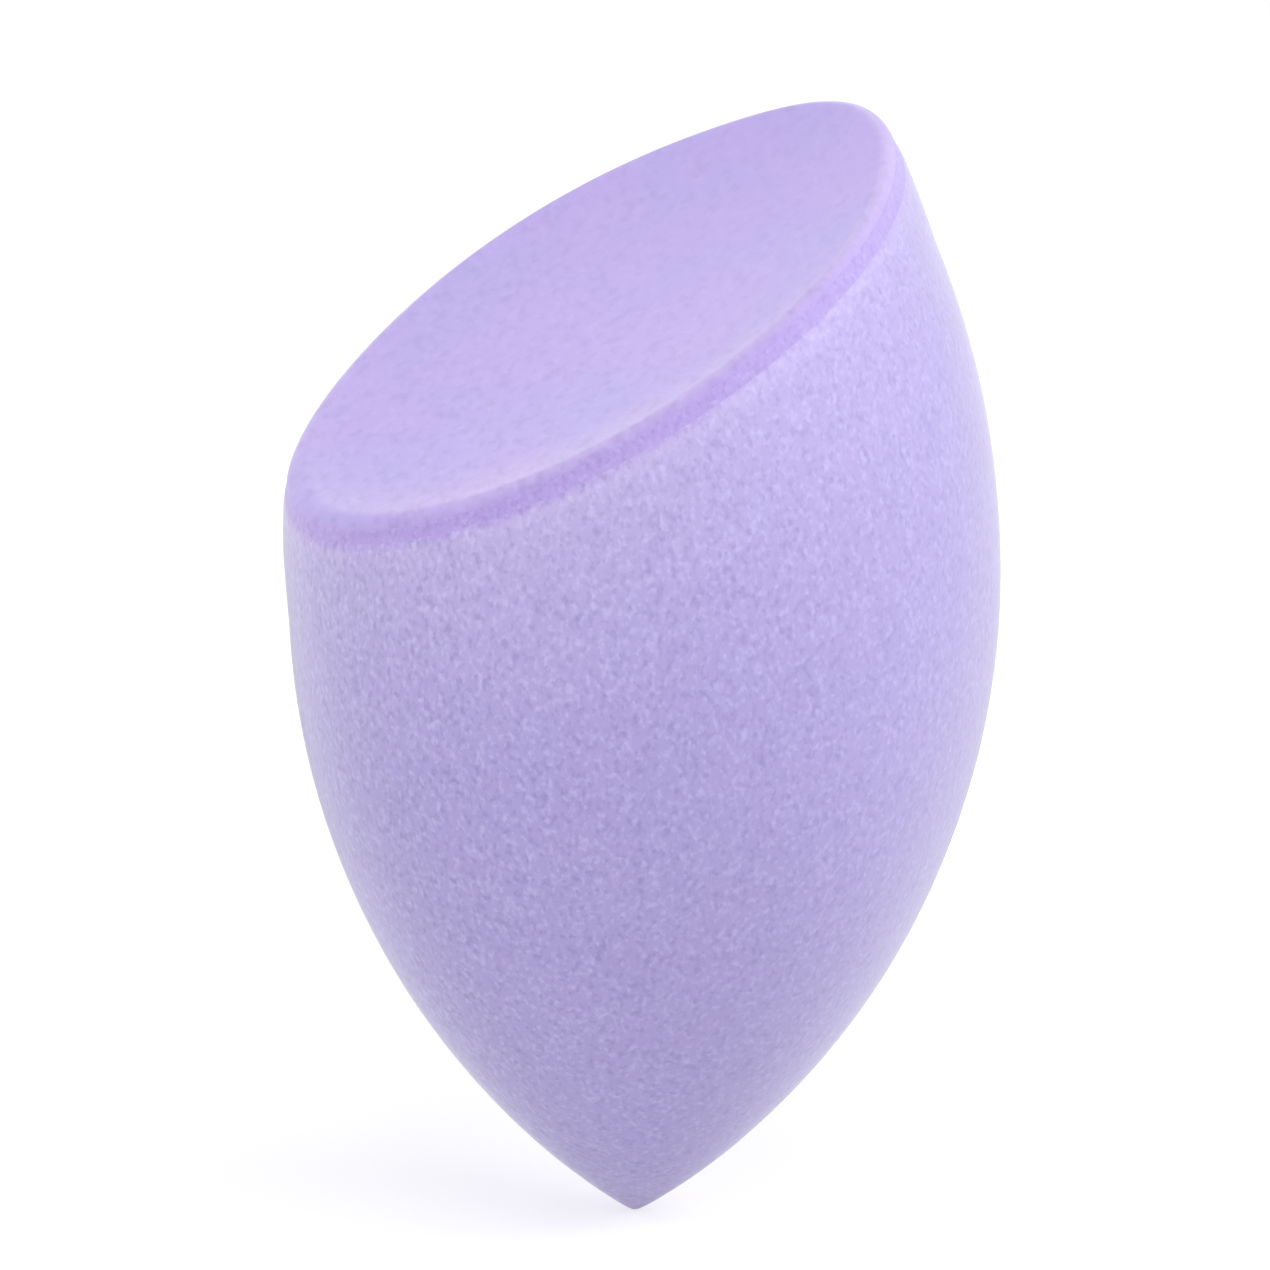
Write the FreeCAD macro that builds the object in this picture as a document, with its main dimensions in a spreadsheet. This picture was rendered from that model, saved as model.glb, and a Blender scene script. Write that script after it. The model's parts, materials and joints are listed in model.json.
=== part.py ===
import FreeCAD, Part
import Sketcher
import math
import os

# Makeup sponge: a pointed round foam body whose top is cut off at a slant.
# The origin is the point of the tip, +Z runs up the body's axis, and the slanted
# face is highest towards +X, so the sponge is the same on both sides of the XZ plane.
doc = FreeCAD.newDocument("makeup_sponge")

# Driving dimensions, in millimetres and degrees
SIZES = {
    "belly_diameter": 40.0,     # across the widest round of the body
    "belly_height": 36.6,       # from the point of the tip up to that round
    "crown_height": 39.7,       # from that round up to the top the body would have uncut
    "tip_radius": 0.7,          # rounding of the point
    "face_height": 54.6,        # where the slanted face crosses the body's axis
    "face_tilt": 32.8,          # slant of the face from level
    "face_thickness": 0.4,      # of the smooth face skin
    "face_edge_radius": 0.3,    # rounded shoulder of the face skin
    "seam_width": 0.8,          # of the seam between face and sides
    "seam_depth": 0.2,          # of the crease that the seam leaves
    "skin_thickness": 1.2,      # of the skin round the sides
    "skin_edge_radius": 0.25,   # rounded lip of the side skin at the seam
    "core_tip_radius": 1.5,     # rounding of the foam core's own point, inside the skin
}
sheet = doc.addObject("Spreadsheet::Sheet", "Sizes")
for row, (alias, value) in enumerate(SIZES.items(), start=1):
    sheet.set(f"A{row}", alias)
    sheet.set(f"B{row}", str(value))
    sheet.setAlias(f"B{row}", alias)
doc.recompute()

# A rounded edge takes at most this share of the wall that it is cut from
EDGE_SHARE = 0.9

# Heights on the body's axis of the three parallel slanted planes, from the face downwards
FACE_PLANE = "<<Sizes>>.face_height"
FACE_BACK_PLANE = f"{FACE_PLANE} - <<Sizes>>.face_thickness / cos(<<Sizes>>.face_tilt * 1 deg)"
SEAM_PLANE = f"{FACE_BACK_PLANE} - <<Sizes>>.seam_width / cos(<<Sizes>>.face_tilt * 1 deg)"


# A sketch names a point by its curve and a number, and its own origin and axes by numbers below zero
def start(curve):
    return curve, 1


def end(curve):
    return curve, 2


def centre(curve):
    return curve, 3


def origin():
    return -1, 1


def upright_axis():
    return -2


def new_body(name):
    body = doc.addObject("PartDesign::Body", name)
    body.Label = name
    body.Placement = FreeCAD.Placement()
    return body


def upright_sketch(body, name):
    """A sketch on the body's own XZ plane: across is X, up is Z."""
    sketch = body.newObject("Sketcher::SketchObject", name)
    plane = next(item for item in body.Origin.OriginFeatures if item.Role == "XZ_Plane")
    sketch.AttachmentSupport = (plane, [""])
    sketch.MapMode = "FlatFace"
    return sketch


def arc(middle, radius, first_angle, last_angle):
    circle = Part.Circle(FreeCAD.Vector(*middle, 0), FreeCAD.Vector(0, 0, 1), radius)
    return Part.ArcOfCircle(circle, first_angle, last_angle)


def bind(sketch, name, constraint, expression):
    """Add a dimension to the sketch under a name, and tie it to the sheet."""
    sketch.addConstraint(constraint)
    sketch.renameConstraint(sketch.ConstraintCount - 1, name)
    sketch.setExpression(f"Constraints.{name}", expression)


def spindle_outline(sketch):
    """The half outline of the uncut body: tip ball, side arc, crown arc.

    Both large arcs stand upright at the belly, and the tip ball runs into the side arc.
    """
    belly = sheet.belly_diameter / 2
    tip = sheet.tip_radius
    rise = sheet.belly_height - tip
    side_radius = (rise**2 + belly**2 - tip**2) / (2 * (belly - tip))
    crown_radius = (belly**2 + sheet.crown_height**2) / (2 * belly)
    side_centre = (belly - side_radius, sheet.belly_height)
    crown_centre = (belly - crown_radius, sheet.belly_height)
    tip_end = math.atan2(-rise, side_radius - belly)
    crown_end = math.atan2(sheet.crown_height, crown_radius - belly)

    tip_arc = sketch.addGeometry(arc((0, tip), tip, -math.pi / 2, tip_end))
    side_arc = sketch.addGeometry(arc(side_centre, side_radius, tip_end, 0))
    crown_arc = sketch.addGeometry(arc(crown_centre, crown_radius, 0, crown_end))
    sketch.addConstraint([
        Sketcher.Constraint("Coincident", *start(tip_arc), *origin()),
        Sketcher.Constraint("PointOnObject", *centre(tip_arc), upright_axis()),
        Sketcher.Constraint("Tangent", *end(tip_arc), *start(side_arc)),
        Sketcher.Constraint("Tangent", *end(side_arc), *start(crown_arc)),
        Sketcher.Constraint("Horizontal", *centre(side_arc), *end(side_arc)),
        Sketcher.Constraint("PointOnObject", *end(crown_arc), upright_axis()),
    ])
    bind(sketch, "tip_radius", Sketcher.Constraint("Radius", tip_arc, tip), "<<Sizes>>.tip_radius")
    bind(sketch, "belly_radius",
         Sketcher.Constraint("DistanceX", *origin(), *end(side_arc), belly),
         "<<Sizes>>.belly_diameter / 2")
    bind(sketch, "belly_height",
         Sketcher.Constraint("DistanceY", *origin(), *end(side_arc), sheet.belly_height),
         "<<Sizes>>.belly_height")
    bind(sketch, "crown_height",
         Sketcher.Constraint("DistanceY", *end(side_arc), *end(crown_arc), sheet.crown_height),
         "<<Sizes>>.crown_height")
    return tip_arc, side_arc, crown_arc


def close_along_axis(sketch, low_curve, high_curve):
    """Join the two ends of a half outline by a line on the body's axis."""
    low_end = sketch.getPoint(*start(low_curve))
    high_end = sketch.getPoint(*end(high_curve))
    axis_line = sketch.addGeometry(Part.LineSegment(high_end, low_end))
    sketch.addConstraint([
        Sketcher.Constraint("Coincident", *start(axis_line), *end(high_curve)),
        Sketcher.Constraint("Coincident", *end(axis_line), *start(low_curve)),
    ])


def outer_profile(body, name):
    """Half outline of the uncut body's outer surface."""
    sketch = upright_sketch(body, name)
    tip_arc, _, crown_arc = spindle_outline(sketch)
    close_along_axis(sketch, tip_arc, crown_arc)
    return sketch


def inset_profile(body, name, depth_alias):
    """Half outline of the surface that lies one depth inside the outer one, with its own tip ball."""
    sketch = upright_sketch(body, name)
    outline = spindle_outline(sketch)
    for curve in outline:
        sketch.setConstruction(curve, True)
    _, side_arc, crown_arc = outline

    depth = getattr(sheet, depth_alias)
    tip = sheet.core_tip_radius
    side = sketch.Geometry[side_arc]
    crown = sketch.Geometry[crown_arc]
    side_radius = side.Radius - depth
    crown_radius = crown.Radius - depth
    side_centre = (side.Center.x, side.Center.y)
    crown_centre = (crown.Center.x, crown.Center.y)
    tip_end = -math.acos(-side.Center.x / (side_radius - tip))
    tip_centre = (0, side.Center.y + (side_radius - tip) * math.sin(tip_end))
    crown_end = math.acos(-crown.Center.x / crown_radius)

    inner_tip = sketch.addGeometry(arc(tip_centre, tip, -math.pi / 2, tip_end))
    inner_side = sketch.addGeometry(arc(side_centre, side_radius, tip_end, 0))
    inner_crown = sketch.addGeometry(arc(crown_centre, crown_radius, 0, crown_end))
    sketch.addConstraint([
        Sketcher.Constraint("PointOnObject", *centre(inner_tip), upright_axis()),
        Sketcher.Constraint("PointOnObject", *start(inner_tip), upright_axis()),
        Sketcher.Constraint("Tangent", *end(inner_tip), *start(inner_side)),
        Sketcher.Constraint("Coincident", *centre(inner_side), *centre(side_arc)),
        Sketcher.Constraint("Coincident", *centre(inner_crown), *centre(crown_arc)),
        Sketcher.Constraint("Coincident", *end(inner_side), *start(inner_crown)),
        Sketcher.Constraint("Horizontal", *end(inner_side), *end(side_arc)),
        Sketcher.Constraint("PointOnObject", *end(inner_crown), upright_axis()),
    ])
    bind(sketch, "core_tip_radius",
         Sketcher.Constraint("Radius", inner_tip, tip), "<<Sizes>>.core_tip_radius")
    bind(sketch, "inset_depth",
         Sketcher.Constraint("DistanceX", *end(inner_side), *end(side_arc), depth),
         f"<<Sizes>>.{depth_alias}")
    close_along_axis(sketch, inner_tip, inner_crown)
    return sketch


def turn(body, name, profile):
    """A solid of revolution round the body's axis."""
    solid = body.newObject("PartDesign::Revolution", name)
    solid.Profile = profile
    solid.ReferenceAxis = (profile, ["V_Axis"])
    solid.Angle = 360
    doc.recompute()


def check_cut(body, cut, volume_before):
    doc.recompute()
    if not 0 < body.Shape.Volume < volume_before:
        raise RuntimeError(f"{cut.Label} removed nothing from {body.Label}, or all of it")


def hollow(body, name, profile):
    """Turn away what lies inside a profile."""
    volume_before = body.Shape.Volume
    cut = body.newObject("PartDesign::Groove", name)
    cut.Profile = profile
    cut.ReferenceAxis = (profile, ["V_Axis"])
    cut.Angle = 360
    check_cut(body, cut, volume_before)


def slice_off(body, name, plane_height, side):
    """Cut away all that lies above (side +1) or below (side -1) a slanted plane."""
    volume_before = body.Shape.Volume
    sketch = upright_sketch(body, f"{name}_sketch")
    tilt = math.radians(sheet.face_tilt)
    reach = sheet.belly_height + sheet.crown_height
    along = FreeCAD.Vector(math.cos(tilt), math.sin(tilt), 0) * reach
    away = FreeCAD.Vector(-math.sin(tilt), math.cos(tilt), 0) * reach * side
    crossing = FreeCAD.Vector(0, sheet.face_height, 0)
    corners = [crossing - along, crossing + along, crossing + along + away, crossing - along + away]
    edges = []
    for first, last in zip(corners, corners[1:] + corners[:1]):
        edges.append(sketch.addGeometry(Part.LineSegment(first, last)))
    plane_edge, right_edge, far_edge, left_edge = edges
    middle = sketch.addGeometry(Part.Point(crossing))
    for edge, following in zip(edges, edges[1:] + edges[:1]):
        sketch.addConstraint(Sketcher.Constraint("Coincident", *end(edge), *start(following)))
    sketch.addConstraint([
        Sketcher.Constraint("Perpendicular", plane_edge, right_edge),
        Sketcher.Constraint("Perpendicular", right_edge, far_edge),
        Sketcher.Constraint("Perpendicular", far_edge, left_edge),
        Sketcher.Constraint("PointOnObject", *start(middle), upright_axis()),
        Sketcher.Constraint("Symmetric", *start(plane_edge), *end(plane_edge), *start(middle)),
    ])
    whole_height = "<<Sizes>>.belly_height + <<Sizes>>.crown_height"
    bind(sketch, "plane_height",
         Sketcher.Constraint("DistanceY", *origin(), *start(middle), sheet.face_height), plane_height)
    bind(sketch, "tilt", Sketcher.Constraint("Angle", plane_edge, tilt), "<<Sizes>>.face_tilt")
    bind(sketch, "across", Sketcher.Constraint("Distance", plane_edge, 2 * reach), f"2 * ({whole_height})")
    bind(sketch, "away", Sketcher.Constraint("Distance", right_edge, reach), whole_height)

    cut = body.newObject("PartDesign::Pocket", name)
    cut.Profile = sketch
    cut.Type = "ThroughAll"
    cut.SideType = "Symmetric"
    check_cut(body, cut, volume_before)


def round_rim(body, name, radius):
    """Round the outer edge of the body's upper slanted face."""
    base = body.Tip
    tilt = math.radians(sheet.face_tilt)
    upwards = FreeCAD.Vector(-math.sin(tilt), 0, math.cos(tilt))
    flat_faces = [face for face in base.Shape.Faces if isinstance(face.Surface, Part.Plane)]
    upper = max(flat_faces, key=lambda face: face.CenterOfMass.dot(upwards))
    rim = upper.OuterWire.Edges
    names = []
    for number, edge in enumerate(base.Shape.Edges, start=1):
        if any(edge.isSame(part) for part in rim):
            names.append(f"Edge{number}")
    rounding = body.newObject("PartDesign::Fillet", name)
    rounding.Base = (base, names)
    rounding.setExpression("Radius", radius)
    doc.recompute()


# Foam core: the springy open-cell body that fills everything inside the skins
foam_core = new_body("foam_core")
turn(foam_core, "core_form", inset_profile(foam_core, "core_profile", "skin_thickness"))
slice_off(foam_core, "core_top", FACE_BACK_PLANE, 1)

# Side skin: the velvety skin round the pointed sides, open at the top, with a rounded lip
side_skin = new_body("side_skin")
turn(side_skin, "skin_form", outer_profile(side_skin, "skin_profile"))
hollow(side_skin, "skin_inside", inset_profile(side_skin, "skin_inner_profile", "skin_thickness"))
slice_off(side_skin, "skin_mouth", SEAM_PLANE, 1)
round_rim(side_skin, "skin_lip",
          f"min(<<Sizes>>.skin_edge_radius; {EDGE_SHARE} * <<Sizes>>.skin_thickness)")

# Seam band: the bonded ring between side skin and face skin, sunk below both
seam_band = new_body("seam_band")
turn(seam_band, "seam_form", inset_profile(seam_band, "seam_profile", "seam_depth"))
hollow(seam_band, "seam_inside", inset_profile(seam_band, "seam_inner_profile", "skin_thickness"))
slice_off(seam_band, "seam_top", FACE_BACK_PLANE, 1)
slice_off(seam_band, "seam_bottom", SEAM_PLANE, -1)

# Face skin: the smooth slanted face that closes the top, with a rounded shoulder
face_skin = new_body("face_skin")
turn(face_skin, "face_form", outer_profile(face_skin, "face_profile"))
slice_off(face_skin, "face_back", FACE_BACK_PLANE, -1)
slice_off(face_skin, "face_top", FACE_PLANE, 1)
round_rim(face_skin, "face_shoulder",
          f"min(<<Sizes>>.face_edge_radius; {EDGE_SHARE} * <<Sizes>>.face_thickness)")

# Nothing is written unless every object of the document is sound
doc.recompute()
failed = [item.Label for item in doc.Objects if "Invalid" in item.State or "Error" in item.State]
if failed:
    raise RuntimeError(f"these objects failed: {failed}")
pieces = (foam_core, side_skin, seam_band, face_skin)
for piece in pieces:
    if piece.Shape.isNull() or not piece.Shape.isValid() or len(piece.Shape.Solids) != 1:
        raise RuntimeError(f"{piece.Label} is not one sound solid")

os.makedirs("parts", exist_ok=True)
for piece in pieces:
    piece.Shape.exportStep(f"parts/{piece.Label}.step")
    box = piece.Shape.BoundBox
    print(f"{piece.Label}: {piece.Shape.Volume:.1f} mm3, z {box.ZMin:.2f} to {box.ZMax:.2f}")
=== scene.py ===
import json
import math

import bpy
from mathutils import Matrix, Vector


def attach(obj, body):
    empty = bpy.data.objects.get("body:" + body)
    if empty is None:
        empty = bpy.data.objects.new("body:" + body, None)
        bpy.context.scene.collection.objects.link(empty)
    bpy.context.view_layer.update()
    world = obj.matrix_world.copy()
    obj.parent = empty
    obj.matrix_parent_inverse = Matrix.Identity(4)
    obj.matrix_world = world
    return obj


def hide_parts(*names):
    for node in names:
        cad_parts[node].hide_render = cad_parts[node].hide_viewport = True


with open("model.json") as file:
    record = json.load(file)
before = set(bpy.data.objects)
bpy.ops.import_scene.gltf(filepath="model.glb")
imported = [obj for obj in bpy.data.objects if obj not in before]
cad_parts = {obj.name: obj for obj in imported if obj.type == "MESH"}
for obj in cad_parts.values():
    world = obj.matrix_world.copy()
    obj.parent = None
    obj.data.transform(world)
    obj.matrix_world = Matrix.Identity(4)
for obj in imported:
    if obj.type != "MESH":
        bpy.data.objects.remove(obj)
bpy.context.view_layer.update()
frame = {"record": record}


# Foam core: the springy open-cell foam that fills the sponge, moulded in one piece.
# The two skins and the seam wrap it completely, and it is fixed to them because they are the same foam.
MM = 0.001
mounts = {mount["name"]: mount for mount in frame["record"]["mounts"]}
belly_radius = mounts["grip"]["dims"]["r_mm"] * MM
belly_height = mounts["grip"]["pos_m"][2]
face_height = mounts["slant_face"]["pos_m"][2]
face_normal = Vector(mounts["slant_face"]["axis"]).normalized()
face_tilt = math.atan2(-face_normal.x, face_normal.z)
crown_height = 39.7 * MM
tip_radius = 1.0 * MM
side_radius = (((belly_height - tip_radius) ** 2 + belly_radius ** 2 - tip_radius ** 2)
               / (2 * (belly_radius - tip_radius)))
crown_radius = (belly_radius ** 2 + crown_height ** 2) / (2 * belly_radius)
tip_lift = math.sqrt(side_radius ** 2 - (side_radius - belly_radius) ** 2) - belly_height
skin_thickness = 1.2 * MM
face_thickness = 0.40 * MM
seam_lean = 0.33
seam_middle = 0.78 * MM
seam_sway = 0.22 * MM
seam_pinch = 0.14 * MM
seam_half = 0.55 * MM
half_sway = 0.07 * MM
half_pinch = -0.06 * MM
seam_fade = 1.0 * MM
seam_strength = 0.75
strength_sway = 0.42
seam_flare = 0.45 * MM
flare_depth = 7.5 * MM
rim_square = 0.32 * MM
square_depth = 14.0 * MM
rim_shift = 0.07 * MM
rim_saddle = 0.18 * MM
face_dish = 1.0 * MM
grain_size = 1.0 * MM
swell_size = 10.0 * MM
columns = 384
sharp_edge = math.radians(35)


class Term:
    """A number inside a node tree. Arithmetic on terms adds the Math nodes that work it out."""

    def __init__(self, tree, socket):
        self.tree = tree
        self.socket = socket

    def math(self, operation, *others):
        node = self.tree.nodes.new("ShaderNodeMath")
        node.operation = operation
        for place, value in enumerate((self, *others)):
            feed(node.inputs[place], value)
        return Term(self.tree, node.outputs[0])

    def __add__(self, other):
        return self.math("ADD", other)

    def __sub__(self, other):
        return self.math("SUBTRACT", other)

    def __rsub__(self, other):
        return self.math("MULTIPLY", -1.0).math("ADD", other)

    def __mul__(self, other):
        return self.math("MULTIPLY", other)

    def __truediv__(self, other):
        return self.math("DIVIDE", other)

    def eased(self, low, high):
        node = self.tree.nodes.new("ShaderNodeMapRange")
        node.interpolation_type = "SMOOTHSTEP"
        feed(node.inputs["Value"], self)
        node.inputs["From Min"].default_value = low
        node.inputs["From Max"].default_value = high
        return Term(self.tree, node.outputs[0])


def feed(socket, value):
    """Links a term, or the socket of another node, to a socket, or sets a plain value on it."""
    if isinstance(value, Term):
        value.tree.links.new(value.socket, socket)
    elif isinstance(value, bpy.types.NodeSocket):
        socket.id_data.links.new(value, socket)
    else:
        socket.default_value = value


def new_tree(name, kind, inputs, outputs):
    """A node group with named inputs and outputs, and the nodes that stand for them."""
    tree = bpy.data.node_groups.new(name, kind)
    for label, socket_type in inputs:
        tree.interface.new_socket(name=label, in_out="INPUT", socket_type=socket_type)
    for label, socket_type in outputs:
        tree.interface.new_socket(name=label, in_out="OUTPUT", socket_type=socket_type)
    return tree, tree.nodes.new("NodeGroupInput"), tree.nodes.new("NodeGroupOutput")


def noise(tree, where, size, seed, detail):
    """Cloudy noise from 0 to 1 with clouds of that size, in metres."""
    node = tree.nodes.new("ShaderNodeTexNoise")
    node.noise_dimensions = "4D"
    feed(node.inputs["Vector"], where)
    feed(node.inputs["W"], seed)
    feed(node.inputs["Scale"], size.math("POWER", -1.0))
    node.inputs["Detail"].default_value = detail
    return Term(tree, node.outputs[0])


def sponge_form():
    """The rule that all four pieces follow: a spindle of two arcs turned about Z, closed by a slanted plane.

    A vertex states its place by attributes. turn is its angle round the axis. climb runs from the tip, 0, to
    the slanted plane, 1. inset is its depth below the outside, drop its depth below the face, and spread its
    share of the way from the axis to the side. grain is how much of the surface's unevenness it takes,
    painted_light how much paler it is painted as painted light, and toward the angle round the axis at
    which that painted light is strongest.
    Seam Lean makes depths below the face grow towards its high side and shrink towards its low side. An input
    called Sway changes a value once round the axis, and one called Pinch twice.
    The rule leaves three attributes for the materials: crease, a half at the two borders of the seam's darker
    colour and more inside it; stain, the strength of that colour and of the grain, which fades towards the
    high side; and painted_light, the painted light, weakened away from the side where it is strongest.
    """
    lengths = ("Belly Radius", "Belly Height", "Side Radius", "Crown Radius", "Face Height", "Tip Lift",
               "Flare", "Flare Depth", "Rim Square", "Square Depth", "Rim Shift", "Rim Saddle",
               "Seam Middle", "Seam Sway", "Seam Pinch", "Seam Half", "Half Sway", "Half Pinch", "Seam Fade",
               "Grain Size", "Grain Depth", "Swell Size", "Swell Depth")
    plain_numbers = ("Face Tilt", "Seam Lean", "Seam Strength", "Strength Sway", "Glow Sway", "Seed")
    numbers = [(label, "NodeSocketFloat") for label in (*lengths, *plain_numbers)]
    tree, given, result = new_tree(
        "sponge_form", "GeometryNodeTree",
        [("Geometry", "NodeSocketGeometry"), *numbers, ("Material", "NodeSocketMaterial")],
        [("Geometry", "NodeSocketGeometry")])

    def value(label):
        return Term(tree, given.outputs[label])

    def stated(label):
        node = tree.nodes.new("GeometryNodeInputNamedAttribute")
        node.data_type = "FLOAT"
        node.inputs["Name"].default_value = label
        return Term(tree, node.outputs["Attribute"])

    turn, climb, inset = stated("turn"), stated("climb"), stated("inset")
    drop, spread, grain = stated("drop"), stated("spread"), stated("grain")
    belly, level = value("Belly Radius"), value("Belly Height")
    side, crown = value("Side Radius"), value("Crown Radius")
    tilt = value("Face Tilt")
    once = turn.math("COSINE")
    twice = (turn * 2.0).math("COSINE")
    four_times = (turn * 4.0).math("COSINE")

    slope = tilt.math("TANGENT") * once
    lean = value("Seam Lean") * once * spread + 1.0
    saddle = value("Rim Saddle") * twice * spread * spread
    plane = value("Face Height") + (saddle - drop * lean) / tilt.math("COSINE")
    hypotenuse = (slope * slope + 1.0).math("SQRT")
    sine = (plane - level + slope * (belly - crown)) / ((crown - inset) * hypotenuse)
    rim_angle = slope.math("ARCTANGENT") + sine.math("ARCSINE")
    tip_angle = 0.0 - ((side - belly) / (side - inset)).math("ARCCOSINE")
    angle = tip_angle + climb * (rim_angle - tip_angle)
    below = angle.math("LESS_THAN", 0.0)
    arc = crown + below * (side - crown)
    radius = belly - arc + (arc - inset) * angle.math("COSINE")
    sharp = level + (arc - inset) * angle.math("SINE")
    apex = level - ((side - inset).math("POWER", 2.0) - (side - belly).math("POWER", 2.0)).math("SQRT")
    rise = sharp - apex
    lift = value("Tip Lift")
    height = apex + (rise * rise + lift * lift).math("SQRT")

    depth = (value("Face Height") + slope * radius - height) * tilt.math("COSINE")
    far_side = turn.math("SINE") * 0.5 + 0.5
    bulge = value("Flare") - value("Rim Shift") * once
    square = value("Rim Square") * four_times * far_side
    flare = bulge * (1.0 - (depth / value("Flare Depth")).eased(0.0, 1.0))
    flare = flare + square * (1.0 - (depth / value("Square Depth")).eased(0.0, 1.0))
    wide = (radius + flare) * spread

    below_rim = drop * lean - (1.0 - spread) * radius * hypotenuse
    seam = value("Seam Middle") + value("Seam Sway") * once + value("Seam Pinch") * twice
    half = value("Seam Half") + value("Half Sway") * once + value("Half Pinch") * twice
    off_seam = (below_rim - seam).math("ABSOLUTE")
    away = 0.5 - (turn - stated("toward")).math("COSINE") * 0.5
    marks = {"crease": (half - off_seam) / value("Seam Fade") + 0.5,
             "stain": value("Seam Strength") - value("Strength Sway") * once,
             "painted_light": stated("painted_light") * (1.0 - value("Glow Sway") * away).math("POWER", 2.0)}
    marked = given.outputs["Geometry"]
    for label, amount in marks.items():
        mark = tree.nodes.new("GeometryNodeStoreNamedAttribute")
        mark.data_type = "FLOAT"
        mark.domain = "POINT"
        mark.inputs["Name"].default_value = label
        feed(mark.inputs["Geometry"], marked)
        feed(mark.inputs["Value"], amount)
        marked = mark.outputs[0]

    place = tree.nodes.new("ShaderNodeCombineXYZ")
    feed(place.inputs["X"], wide * once)
    feed(place.inputs["Y"], wide * turn.math("SINE"))
    feed(place.inputs["Z"], plane + (height + slope * flare - plane) * spread)
    formed = tree.nodes.new("GeometryNodeSetPosition")
    feed(formed.inputs["Geometry"], marked)
    feed(formed.inputs["Position"], place.outputs[0])

    where = tree.nodes.new("GeometryNodeInputPosition").outputs[0]
    outward = tree.nodes.new("GeometryNodeInputNormal").outputs[0]
    fine = noise(tree, where, value("Grain Size"), value("Seed"), detail=1.0) - 0.5
    broad = noise(tree, where, value("Swell Size"), value("Seed"), detail=0.0) - 0.5
    rough = tree.nodes.new("ShaderNodeVectorMath")
    rough.operation = "SCALE"
    feed(rough.inputs[0], outward)
    feed(rough.inputs["Scale"], grain * (fine * value("Grain Depth") + broad * value("Swell Depth")))
    uneven = tree.nodes.new("GeometryNodeSetPosition")
    feed(uneven.inputs["Geometry"], formed.outputs[0])
    feed(uneven.inputs["Offset"], rough.outputs[0])

    realized = tree.nodes.new("GeometryNodeRealizeInstances")
    feed(realized.inputs[0], uneven.outputs[0])
    coloured = tree.nodes.new("GeometryNodeSetMaterial")
    feed(coloured.inputs["Geometry"], realized.outputs[0])
    feed(coloured.inputs["Material"], given.outputs["Material"])
    feed(result.inputs[0], coloured.outputs[0])
    return tree


def station(climb=1.0, inset=0.0, drop=0.0, spread=1.0, grain=0.0, painted_light=0.0, toward=0.0):
    """One stop on the line that is turned about the axis to make a piece."""
    return {"climb": climb, "inset": inset, "drop": drop, "spread": spread, "grain": grain, "painted_light": painted_light,
            "toward": toward}


def shares(count):
    """Even steps from 0 to 1, both included."""
    return [step / count for step in range(count + 1)]


def turned_mesh(name, path, ring):
    """A closed mesh with one row of vertices for each station: a single one where the line meets the axis."""
    rows = []
    stated = {label: [] for label in ("turn", *station())}
    for stop in path:
        on_axis = stop["spread"] == 0.0 or stop["climb"] == 0.0
        first = len(stated["turn"])
        count = 1 if on_axis else columns
        rows.append([first + place for place in range(count)])
        for place in range(count):
            stated["turn"].append(2 * math.pi * place / columns)
            for label, amount in stop.items():
                stated[label].append(amount)
    faces = []
    for lower, upper in zip(rows, rows[1:] + rows[:1] if ring else rows[1:]):
        for place in range(columns):
            after = (place + 1) % columns
            if len(lower) == 1:
                faces.append((lower[0], upper[after], upper[place]))
            elif len(upper) == 1:
                faces.append((lower[place], lower[after], upper[0]))
            else:
                faces.append((lower[place], lower[after], upper[after], upper[place]))
    mesh = bpy.data.meshes.new(name)
    mesh.from_pydata([(0.0, 0.0, 0.0)] * len(stated["turn"]), [], faces)
    for label, amounts in stated.items():
        mesh.attributes.new(label, "FLOAT", "POINT").data.foreach_set("value", amounts)
    return mesh


def make_piece(name, path, material, ring=False, **unevenness):
    """Runs the sponge's rule on a turned mesh, and keeps the outcome as a plain mesh."""
    piece = bpy.data.objects.new(name, turned_mesh(name, path, ring))
    bpy.context.scene.collection.objects.link(piece)
    modifier = piece.modifiers.new("form", "NODES")
    modifier.node_group = form_tree
    settings = {
        "Belly Radius": belly_radius, "Belly Height": belly_height, "Side Radius": side_radius,
        "Crown Radius": crown_radius, "Tip Lift": tip_lift,
        "Face Height": face_height, "Face Tilt": face_tilt,
        "Seam Lean": seam_lean, "Seam Middle": seam_middle, "Seam Sway": seam_sway, "Seam Pinch": seam_pinch,
        "Seam Half": seam_half, "Half Sway": half_sway, "Half Pinch": half_pinch, "Seam Fade": seam_fade,
        "Seam Strength": seam_strength, "Strength Sway": strength_sway,
        "Flare": seam_flare, "Flare Depth": flare_depth, "Rim Square": rim_square,
        "Square Depth": square_depth, "Rim Shift": rim_shift, "Rim Saddle": rim_saddle,
        "Grain Size": grain_size, "Swell Size": swell_size, "Material": material,
    }
    settings.update({label.replace("_", " ").title(): amount for label, amount in unevenness.items()})
    for item in form_tree.interface.items_tree:
        if item.in_out == "INPUT" and item.name in settings:
            modifier[item.identifier] = settings[item.name]
    graph = bpy.context.evaluated_depsgraph_get()
    outcome = bpy.data.meshes.new_from_object(piece.evaluated_get(graph))
    piece.modifiers.remove(modifier)
    flat = piece.data
    piece.data = outcome
    bpy.data.meshes.remove(flat)
    outcome.name = name
    for label in ("turn", "climb", "inset", "drop", "spread", "grain", "toward"):
        outcome.attributes.remove(outcome.attributes[label])
    outcome.shade_smooth()
    outcome.set_sharp_from_angle(angle=sharp_edge)
    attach(piece, "root")
    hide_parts(name)
    return piece


rag_size = 0.5 * MM
speck_limits = (0.45, 0.75)
cloud_limits = (0.3, 0.7)
pore_scale = 1.2
pore_seed_step = 7.0
pore_depth = 0.5


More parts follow.
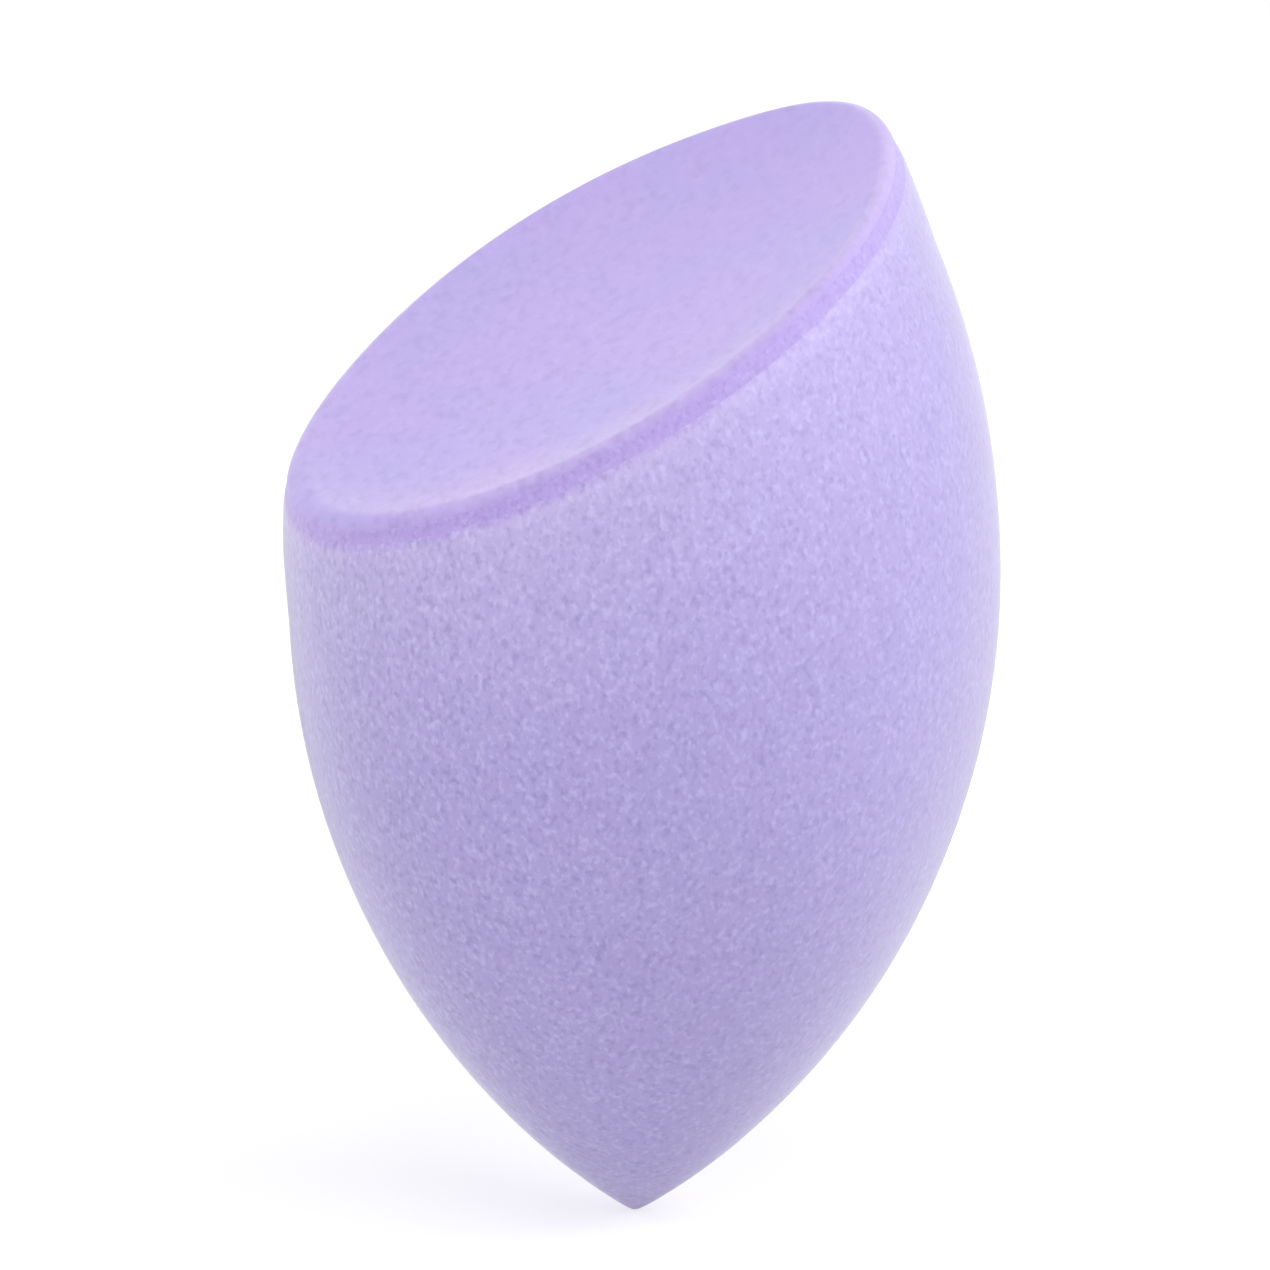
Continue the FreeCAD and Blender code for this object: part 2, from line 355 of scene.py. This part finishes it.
def foam_grain():
    """The look of fine foam, with places in the object's own coordinates.

    Fleck marks pale cell walls, Pore dark pores, Cloud broad faint clouds, and Rag the raggedness of soft
    borders. Height is the relief of walls and pores. Stretch draws the cells out along turned axes.
    """
    tree, given, result = new_tree(
        "foam_grain", "ShaderNodeTree",
        [("Cell Size", "NodeSocketFloat"), ("Cloud Size", "NodeSocketFloat"), ("Stretch", "NodeSocketVector"),
         ("Stretch Turn", "NodeSocketFloat"), ("Seed", "NodeSocketFloat")],
        [(label, "NodeSocketFloat") for label in ("Fleck", "Pore", "Cloud", "Rag", "Height")])
    cell = Term(tree, given.outputs["Cell Size"])
    cloud = Term(tree, given.outputs["Cloud Size"])
    seed = Term(tree, given.outputs["Seed"])
    plain_place = tree.nodes.new("ShaderNodeTexCoord").outputs["Object"]
    rotated = tree.nodes.new("ShaderNodeVectorRotate")
    rotated.rotation_type = "Z_AXIS"
    feed(rotated.inputs["Vector"], plain_place)
    feed(rotated.inputs["Angle"], given.outputs["Stretch Turn"])
    stretched = tree.nodes.new("ShaderNodeVectorMath")
    stretched.operation = "DIVIDE"
    feed(stretched.inputs[0], rotated.outputs[0])
    feed(stretched.inputs[1], given.outputs["Stretch"])
    where = stretched.outputs[0]
    walls = noise(tree, where, cell, seed, detail=2.0)
    pore = noise(tree, where, cell * pore_scale, seed + pore_seed_step, detail=2.0).eased(*speck_limits)
    rag = tree.nodes.new("ShaderNodeValue").outputs[0]
    rag.default_value = rag_size
    feed(result.inputs["Fleck"], walls.eased(*speck_limits))
    feed(result.inputs["Pore"], pore)
    feed(result.inputs["Cloud"], noise(tree, where, cloud, seed, detail=2.0).eased(*cloud_limits))
    feed(result.inputs["Rag"], noise(tree, plain_place, Term(tree, rag), seed=3.0, detail=3.0))
    feed(result.inputs["Height"], walls - pore * pore_depth)
    return tree


wall_colour = (0.95, 0.93, 1.25)
pore_colour = (0.0, 0.0, 0.25)
# How ragged and how soft the borders of the painted light are.
painted_light_rag = 0.4
painted_light_limits = (0.1, 0.9)
crease_rag = 0.9
crease_limits = (0.22, 0.80)
grain_least = 0.45
grain_gain = 0.7
bump_share = 0.35


def foam_material(name, colours, cell_size, cloud_size, stretch, seed, fleck_share, pore_share, cloud_share,
                  bump_strength, sheen, stretch_turn=0.0):
    """Matt foam. colours gives the plain, cloud, painted light and crease colours of the piece.

    Flecks and pores lighten and darken those by shares, so that they stand out alike on pale and dark places.
    """
    material = bpy.data.materials.new(name)
    material.use_nodes = True
    tree = material.node_tree
    shader = tree.nodes["Principled BSDF"]
    grain = tree.nodes.new("ShaderNodeGroup")
    grain.node_tree = grain_tree
    grain.inputs["Cell Size"].default_value = cell_size
    grain.inputs["Cloud Size"].default_value = cloud_size
    grain.inputs["Stretch"].default_value = stretch
    grain.inputs["Stretch Turn"].default_value = stretch_turn
    grain.inputs["Seed"].default_value = seed

    def blended(share, low, high):
        node = tree.nodes.new("ShaderNodeMix")
        node.data_type = "RGBA"
        low_socket, high_socket = [socket for socket in node.inputs if socket.type == "RGBA"]
        mixed_socket, = [socket for socket in node.outputs if socket.type == "RGBA"]
        feed(node.inputs["Factor"], share)
        feed(low_socket, low)
        feed(high_socket, (*high, 1.0))
        return mixed_socket

    def part(label):
        return Term(tree, grain.outputs[label])

    def stated(label):
        attribute = tree.nodes.new("ShaderNodeAttribute")
        attribute.attribute_name = label
        return Term(tree, attribute.outputs["Fac"])

    def ragged(label, amount):
        return stated(label) + (part("Rag") - 0.5) * amount

    creased = ragged("crease", crease_rag).eased(*crease_limits) * stated("stain")
    strength = stated("stain") * grain_gain + grain_least
    shade = blended(part("Cloud") * cloud_share, (*colours["plain"], 1.0), colours["cloud"])
    # Painted light: the piece is painted paler where the rule asks for it, in place of light and sheen.
    shade = blended(ragged("painted_light", painted_light_rag).eased(*painted_light_limits), shade, colours["painted_light"])
    shade = blended(creased, shade, colours["crease"])
    shade = blended(part("Fleck") * strength * fleck_share, shade, wall_colour)
    shade = blended(part("Pore") * strength * pore_share, shade, pore_colour)
    feed(shader.inputs["Base Color"], shade)
    bump = tree.nodes.new("ShaderNodeBump")
    bump.inputs["Strength"].default_value = bump_strength
    bump.inputs["Distance"].default_value = cell_size * bump_share
    feed(bump.inputs["Height"], part("Height"))
    feed(shader.inputs["Normal"], bump.outputs[0])
    shader.inputs["Roughness"].default_value = 0.95
    shader.inputs["Specular IOR Level"].default_value = 0.15
    shader.inputs["Sheen Weight"].default_value = sheen
    shader.inputs["Sheen Roughness"].default_value = 0.45
    shader.inputs["Sheen Tint"].default_value = (0.96, 0.98, 0.96, 1.0)
    return material


form_tree = sponge_form()
grain_tree = foam_grain()
foam_colour = (0.58, 0.50, 0.80)
foam = foam_material(
    "foam",
    {"plain": foam_colour, "cloud": (0.60, 0.50, 0.80), "painted_light": foam_colour, "crease": foam_colour},
    cell_size=0.5 * MM, cloud_size=7.0 * MM, stretch=(1.0, 1.0, 1.0), seed=3.0,
    fleck_share=0.1, pore_share=0.2, cloud_share=0.4, bump_strength=0.6, sheen=0.1)
core_clearance = 0.02 * MM
core_inset = skin_thickness + core_clearance
core_drop = face_thickness + core_clearance
core_side_rows = 120
core_top_rows = 30
core_path = []
for share in shares(core_side_rows):
    core_path.append(station(climb=share, inset=core_inset, drop=core_drop, grain=1.0))
for share in shares(core_top_rows)[1:]:
    core_path.append(station(inset=core_inset, drop=core_drop + face_dish * (1.0 - (1.0 - share) ** 2),
                             spread=1.0 - share))
foam_core = make_piece("foam_core", core_path, foam, grain_depth=-0.04 * MM, seed=5.0)


# Side skin: the fine-pored, velvety skin round the pointed sides, part of the same moulding as the core.
# Its top edge turns in softly towards the slanted seam. The skin is painted paler at the lip and at the tip:
# painted light on the upturned lip, and painted light that lifts the shade where the tip meets the floor.
seam_width = 0.85 * MM
seam_depth = 0.07 * MM
seam_slope = 0.35 * MM
skin_top = face_thickness + seam_width
shoulder_radius = 0.70 * MM
shoulder_fall = 0.60 * MM
crease_colour = (0.507, 0.383, 0.812)


def edge_inset(drop):
    """How far in the outside lies at that depth below the face, from the shoulder's round and the seam."""
    share = max(0.0, 1.0 - drop / shoulder_fall)
    off_middle = abs(drop - face_thickness - seam_width / 2) / (seam_width / 2 + seam_slope)
    valley = seam_depth * (1 + math.cos(math.pi * min(1.0, off_middle))) / 2
    return valley + shoulder_radius * (1 - math.sqrt(1 - share ** 2))


# The blush colour of this skin, now called painted light, is a paler tone painted in as light.
velvet = foam_material(
    "velvet_skin",
    {"plain": (0.470, 0.406, 0.762), "cloud": (0.482, 0.398, 0.762), "painted_light": (0.582, 0.502, 0.850),
     "crease": crease_colour},
    cell_size=0.30 * MM, cloud_size=3.64 * MM, stretch=(1.0, 1.0, 1.25), seed=1.0,
    fleck_share=0.20, pore_share=0.17, cloud_share=0.5, bump_strength=0.2, sheen=0.8)
lip_reach = 1.2 * MM
# How pale the lip and the tip are painted, how far along the side, and towards which side: painted light.
lip_painted_light = 0.62
lip_gain = 1.4
lip_smoothing = 3.0
lip_turn = math.radians(-135)
lip_light_share = 0.35
tip_painted_light = 0.85
tip_share = 0.16
side_rows = 180
lip_rows = 12
edge_rows = 3
inner_rows = 40
side_path = []
# Rows near the lip and near the tip are painted paler: painted light, not a colour of the foam.
for share in shares(side_rows):
    near_lip = max(0.0, 1.0 - (1.0 - share) / lip_light_share)
    near_tip = max(0.0, 1.0 - share / tip_share)
    side_path.append(station(climb=share, drop=skin_top + lip_reach, grain=1.0, toward=lip_turn,
                             painted_light=lip_painted_light * near_lip + tip_painted_light * near_tip))
# The lip's rows are painted paler still towards the seam: painted light on the upturned lip.
for share in shares(lip_rows)[1:]:
    drop = skin_top + lip_reach * (1.0 - share)
    side_path.append(station(inset=edge_inset(drop), drop=drop, toward=lip_turn,
                             grain=min(1.0, lip_smoothing * (1.0 - share)),
                             painted_light=lip_painted_light + (1.0 - lip_painted_light) * min(1.0, lip_gain * share)))
lip_inset = edge_inset(skin_top)
for share in shares(edge_rows)[1:]:
    side_path.append(station(inset=lip_inset + share * (skin_thickness - lip_inset), drop=skin_top))
for share in shares(inner_rows)[1:]:
    side_path.append(station(climb=1.0 - share, inset=skin_thickness, drop=skin_top))
side_skin = make_piece("side_skin", side_path, velvet, grain_depth=0.03 * MM, swell_depth=0.10 * MM,
                       glow_sway=0.62, seed=1.0)


# Seam band: the narrow ring of pressed foam where the face is bonded to the sides.
# It lies sunk below both skins, and its foam is denser, darker and pinker.
bonded_colour = (0.50, 0.413, 0.785)
bonded = foam_material(
    "seam",
    {"plain": bonded_colour, "cloud": (0.50, 0.405, 0.780), "painted_light": bonded_colour, "crease": crease_colour},
    cell_size=0.30 * MM, cloud_size=3.64 * MM, stretch=(1.0, 1.0, 1.0), seed=2.0,
    fleck_share=0.12, pore_share=0.12, cloud_share=0.6, bump_strength=0.3, sheen=0.5)
seam_rows = 12
seam_path = []
for share in shares(edge_rows):
    seam_path.append(station(inset=skin_thickness + share * (lip_inset - skin_thickness), drop=skin_top))
for share in shares(seam_rows)[1:]:
    drop = skin_top - share * seam_width
    seam_path.append(station(inset=edge_inset(drop), drop=drop, grain=math.sin(math.pi * share)))
rim_inset = edge_inset(face_thickness)
for share in shares(edge_rows)[1:]:
    seam_path.append(station(inset=rim_inset + share * (skin_thickness - rim_inset), drop=face_thickness))
seam_band = make_piece("seam_band", seam_path, bonded, ring=True, grain_depth=0.03 * MM, seed=2.0)


# Face skin: the smooth skin of the slanted face, a little hollow because the foam shrinks as it cools.
# Its edge rolls over in a soft shoulder down to the seam that holds it. The shoulder and the face's near
# edge are painted paler: painted light on the shoulder, and a painted sheen along the near edge.
# How pale the rim and shoulder are painted, how fast that fades inwards, and towards which side it is
# strongest.
rim_painted_light = 0.7
rim_gain = 4.0
rim_turn = math.radians(-80)
face_fade = 2.5
face_turn = math.radians(-140)
# The blush colour of this skin, now called painted light, is a paler tone painted in as light and sheen.
smooth = foam_material(
    "smooth_skin",
    {"plain": (0.482, 0.397, 0.838), "cloud": (0.538, 0.391, 0.845), "painted_light": (0.607, 0.502, 0.865),
     "crease": crease_colour},
    cell_size=0.56 * MM, cloud_size=5.04 * MM, stretch=(1.0, 1.6, 1.0), stretch_turn=math.radians(13.6),
    seed=25.0, fleck_share=0.06, pore_share=0.11, cloud_share=0.7, bump_strength=0.05, sheen=0.6)
under_rows = 20
shoulder_rows = 16
face_rows = 60
face_path = []
for share in shares(under_rows):
    face_path.append(station(inset=rim_inset * share, drop=face_thickness + face_dish * (1.0 - share ** 2),
                             spread=share))
# The last row under the rim takes the full painted light, so that it meets the shoulder's.
face_path[-1]["painted_light"] = 1.0
# The shoulder's rows are painted paler, most towards the seam: painted light that lifts the shoulder's shade.
for share in shares(shoulder_rows)[1:]:
    drop = face_thickness * (1.0 - math.sin(math.pi / 2 * share))
    face_path.append(station(inset=edge_inset(drop), drop=drop, grain=share, toward=rim_turn,
                             painted_light=min(1.0, rim_painted_light + rim_gain * drop / face_thickness)))
# The face's rows are painted paler towards the rim, most on the near side: a painted sheen.
for share in shares(face_rows)[1:]:
    face_path.append(station(inset=shoulder_radius, drop=face_dish * (1.0 - (1.0 - share) ** 2),
                             spread=1.0 - share, grain=1.0, toward=face_turn,
                             painted_light=max(0.0, rim_painted_light - face_fade * share)))
face_skin = make_piece("face_skin", face_path, smooth, grain_depth=0.01 * MM, swell_depth=0.06 * MM,
                       glow_sway=1.0, seed=4.0)


# Floor: a wide pale studio floor under the tip, which keeps a faint shadow. It glows a little, as a lit white
# table does, and is lifted to the white of the background where the camera or a reflection sees it.
floor_half = 3.0
floor_tone = 0.5
floor_glow = 0.3
floor_lift = 0.3


def plain_view(tree):
    """1 where the surroundings are seen, by the camera, in a reflection or through glass, and otherwise 0."""
    paths = tree.nodes.new("ShaderNodeLightPath")
    seen = Term(tree, paths.outputs["Is Camera Ray"])
    for kind in ("Is Glossy Ray", "Is Transmission Ray"):
        seen = seen.math("MAXIMUM", Term(tree, paths.outputs[kind]))
    return seen


floor_mesh = bpy.data.meshes.new("floor")
floor_mesh.from_pydata([(-floor_half, -floor_half, 0.0), (floor_half, -floor_half, 0.0),
                        (floor_half, floor_half, 0.0), (-floor_half, floor_half, 0.0)], [], [(0, 1, 2, 3)])
floor = bpy.data.objects.new("floor", floor_mesh)
bpy.context.scene.collection.objects.link(floor)
floor_material = bpy.data.materials.new("floor")
floor_material.use_nodes = True
floor_tree = floor_material.node_tree
floor_shader = floor_tree.nodes["Principled BSDF"]
floor_shader.inputs["Base Color"].default_value = (floor_tone, floor_tone, floor_tone, 1.0)
floor_shader.inputs["Roughness"].default_value = 1.0
floor_shader.inputs["Specular IOR Level"].default_value = 0.0
floor_shader.inputs["Emission Color"].default_value = (1.0, 1.0, 1.0, 1.0)
feed(floor_shader.inputs["Emission Strength"], plain_view(floor_tree) * floor_lift + floor_glow)
floor_mesh.materials.append(floor_material)


# Light: a white studio with weak light from all round and seven large soft lamps. Two stand high in front,
# a strong one high on the right, two weak ones on the left, and two behind, which lighten the edges.
view_azimuth = math.radians(-26.3)
view_height = math.radians(12.0)
middle_height = 31.0 * MM
middle = Vector((0.0, 0.0, middle_height))
to_camera = Vector((math.sin(view_azimuth) * math.cos(view_height),
                    -math.cos(view_azimuth) * math.cos(view_height), math.sin(view_height)))
view_right = Vector((math.cos(view_azimuth), math.sin(view_azimuth), 0.0))
view_up = to_camera.cross(view_right)
studio_level = 0.20
world = bpy.data.worlds.new("studio")
bpy.context.scene.world = world
world.use_nodes = True
world_tree = world.node_tree
background = world_tree.nodes["Background"]
background.inputs["Color"].default_value = (1.0, 1.0, 1.0, 1.0)
feed(background.inputs["Strength"], plain_view(world_tree) * (1.0 - studio_level) + studio_level)
lamp_size = 0.4


def soft_lamp(name, rightward, upward, forward, power):
    """A square lamp that looks at the sponge from a place given along the camera's own directions."""
    data = bpy.data.lights.new(name, "AREA")
    data.shape = "SQUARE"
    data.size = lamp_size
    data.energy = power
    lamp = bpy.data.objects.new(name, data)
    bpy.context.scene.collection.objects.link(lamp)
    lamp.location = middle + view_right * rightward + view_up * upward + to_camera * forward
    lamp.rotation_euler = (middle - lamp.location).to_track_quat("-Z", "Y").to_euler()


soft_lamp("key_lamp", rightward=0.08, upward=0.33, forward=0.50, power=1.30)
soft_lamp("high_lamp", rightward=0.05, upward=0.50, forward=0.33, power=0.73)
soft_lamp("right_lamp", rightward=0.51, upward=0.31, forward=0.05, power=2.05)
soft_lamp("left_lamp", rightward=-0.60, upward=0.05, forward=0.05, power=0.45)
soft_lamp("fill_lamp", rightward=-0.38, upward=0.20, forward=0.42, power=0.62)
soft_lamp("back_lamp", rightward=-0.45, upward=0.05, forward=-0.40, power=2.52)
soft_lamp("rim_lamp", rightward=0.0, upward=0.45, forward=-0.40, power=0.79)


# Camera: a long lens half a metre off and a little above level, with the direction, roll and framing that
# the outline in the photograph gives.
camera_distance = 0.5
photo_width = 1270
photo_scale = 0.0563 * MM
middle_right = 8.2 * photo_scale
middle_below = 42.8 * photo_scale
camera_roll = math.radians(0.84)
camera_data = bpy.data.cameras.new("camera")
camera_data.sensor_fit = "HORIZONTAL"
camera_data.lens = camera_data.sensor_width * camera_distance / (photo_width * photo_scale)
camera = bpy.data.objects.new("camera", camera_data)
bpy.context.scene.collection.objects.link(camera)
aim = middle + view_up * middle_below - view_right * middle_right
stand = Matrix((view_right, view_up, to_camera)).transposed().to_4x4()
camera.matrix_world = (Matrix.Translation(aim + to_camera * camera_distance) @ stand
                       @ Matrix.Rotation(camera_roll, 4, "Z"))
bpy.context.scene.camera = camera
bpy.context.scene.view_settings.view_transform = "Standard"
